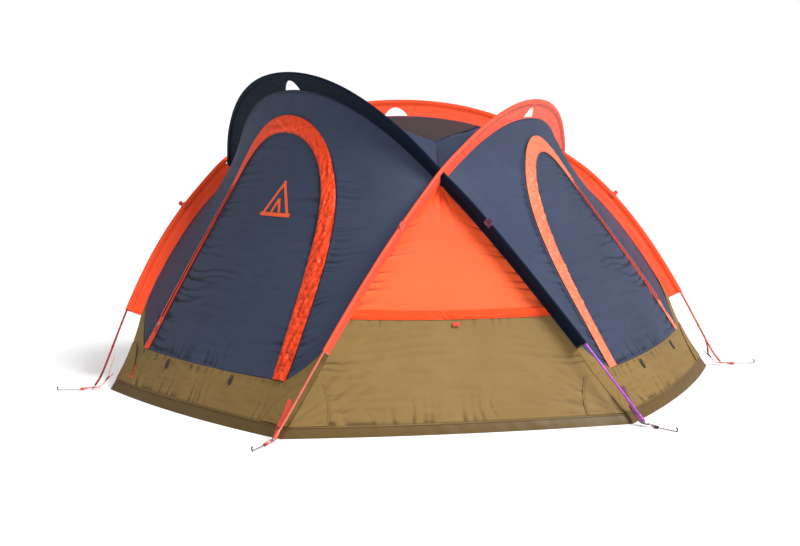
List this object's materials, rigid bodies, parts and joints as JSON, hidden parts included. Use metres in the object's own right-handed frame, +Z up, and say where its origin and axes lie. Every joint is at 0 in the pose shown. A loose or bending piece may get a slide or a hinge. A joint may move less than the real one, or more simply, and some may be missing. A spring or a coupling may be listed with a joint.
{
  "type": "dome tent on poles",
  "caption": "Six-sided dome tent: crossed arched poles in outer fins, two arched doors with bright bands, sloped orange gussets, tub floor with tan walls, pegs at the corners.",
  "frame": {"origin": "on the ground under the middle of the bounding box, which is also the middle of the hexagonal floor", "axes": "+Z up, -Y out of the front door, +X to the right of the front door as seen from outside, along the floor corners that the front pole stands on"},
  "size_m": [2.9564, 2.5604, 1.277],
  "materials": {
    "navy_fabric": "coated ripstop, navy blue",
    "tan_fabric": "coated taffeta, khaki tan",
    "orange_fabric": "coated ripstop, orange",
    "orange_band": "shiny coated fabric, orange red",
    "fin_navy": "double fabric, dark navy",
    "fin_orange": "double fabric, orange red",
    "mesh": "fine insect mesh, brown",
    "pole_purple": "anodised tube, purple",
    "pole_red": "anodised tube, dark red",
    "metal": "plain, satin",
    "webbing_red": "woven webbing, red orange",
    "webbing_plum": "woven webbing, dark plum",
    "black_plastic": "moulded, black"
  },
  "bodies": {
    "tent": {"tub_floor": "tan_fabric", "wall_front": "tan_fabric", "wall_right": "tan_fabric", "wall_left": "tan_fabric", "wall_gusset_right_front": "tan_fabric", "wall_gusset_rear": "tan_fabric", "wall_gusset_left_front": "tan_fabric", "gusset_right_front": "orange_fabric", "gusset_rear": "orange_fabric", "gusset_left_front": "orange_fabric", "surround_front": "navy_fabric", "surround_right": "navy_fabric", "plain_wall": "navy_fabric", "band_front": "orange_band", "band_right": "orange_band", "roof": "navy_fabric", "roof_mesh": "mesh", "fin_front": "fin_navy", "fin_right": "fin_orange", "fin_left": "fin_orange", "pole_front": "pole_purple", "pole_right": "pole_red", "pole_left": "pole_red", "pole_tip_1": "metal", "corner_strap_1": "webbing_plum", "guy_tab_1": "webbing_plum", "pole_tip_2": "metal", "corner_strap_2": "webbing_red", "guy_tab_2": "webbing_red", "pole_tip_3": "metal", "corner_strap_3": "webbing_red", "guy_tab_3": "webbing_red", "pole_tip_4": "metal", "corner_strap_4": "webbing_plum", "guy_tab_4": "webbing_plum", "pole_tip_5": "metal", "corner_strap_5": "webbing_red", "guy_tab_5": "webbing_red", "pole_tip_6": "metal", "corner_strap_6": "webbing_red", "guy_tab_6": "webbing_red"},
    "door_front": {"door_front": "navy_fabric"},
    "door_right": {"door_right": "navy_fabric"},
    "toggle_front_left": {"toggle_front_left": "black_plastic"},
    "toggle_front_right": {"toggle_front_right": "black_plastic"},
    "zip_slider_front": {"zip_slider_front": "metal"},
    "toggle_right_left": {"toggle_right_left": "black_plastic"},
    "toggle_right_right": {"toggle_right_right": "black_plastic"},
    "zip_slider_right": {"zip_slider_right": "metal"},
    "stake_1": {"stake_1": "metal"},
    "stake_2": {"stake_2": "metal"},
    "stake_3": {"stake_3": "metal"},
    "stake_4": {"stake_4": "metal"},
    "stake_5": {"stake_5": "metal"},
    "stake_6": {"stake_6": "metal"}
  },
  "joints": [
    {"name": "front_door_drop", "type": "hinge", "parent": "tent", "child": "door_front", "pos_m": [0, -1.01668, 0.176], "axis": [1, 0, 0], "range_deg": [0, 118]},
    {"name": "right_door_drop", "type": "hinge", "parent": "tent", "child": "door_right", "pos_m": [0.86666, 0.50036, 0.176], "axis": [-0.5, 0.866, 0], "range_deg": [0, 118]},
    {"name": "front_left_toggle_swing", "type": "hinge", "parent": "tent", "child": "toggle_front_left", "pos_m": [-0.2352, -1.0225, 0.16436], "axis": [-0.9991, 0.037, -0.0209], "range_deg": [0, 60]},
    {"name": "front_right_toggle_swing", "type": "hinge", "parent": "tent", "child": "toggle_front_right", "pos_m": [0.23522, -1.0225, 0.16436], "axis": [-0.9989, -0.0402, 0.0227], "range_deg": [0, 60]},
    {"name": "front_zip_slide", "type": "slide", "parent": "tent", "child": "zip_slider_front", "axis": [0, 0.4979, 0.8672], "range_m": [0, 0.1]},
    {"name": "right_left_toggle_swing", "type": "hinge", "parent": "tent", "child": "toggle_right_left", "pos_m": [0.98857, 0.29916, 0.16466], "axis": [0.4682, -0.8833, -0.0241], "range_deg": [0, 60]},
    {"name": "right_right_toggle_swing", "type": "hinge", "parent": "tent", "child": "toggle_right_right", "pos_m": [0.75795, 0.70911, 0.16458], "axis": [0.5199, -0.8541, 0.0148], "range_deg": [0, 60]},
    {"name": "right_zip_slide", "type": "slide", "parent": "tent", "child": "zip_slider_right", "axis": [-0.459, -0.265, 0.848], "range_m": [0, 0.1]},
    {"name": "stake_1_pull", "type": "slide", "parent": "tent", "child": "stake_1", "axis": [1, 0, 0], "range_m": [0, 0.12]},
    {"name": "stake_2_pull", "type": "slide", "parent": "tent", "child": "stake_2", "axis": [0.5, 0.866, 0], "range_m": [0, 0.12]},
    {"name": "stake_3_pull", "type": "slide", "parent": "tent", "child": "stake_3", "axis": [-0.5, 0.866, 0], "range_m": [0, 0.12]},
    {"name": "stake_4_pull", "type": "slide", "parent": "tent", "child": "stake_4", "axis": [-1, 0, 0], "range_m": [0, 0.12]},
    {"name": "stake_5_pull", "type": "slide", "parent": "tent", "child": "stake_5", "axis": [-0.5, -0.866, 0], "range_m": [0, 0.12]},
    {"name": "stake_6_pull", "type": "slide", "parent": "tent", "child": "stake_6", "axis": [0.5, -0.866, 0], "range_m": [0, 0.12]}
  ]
}
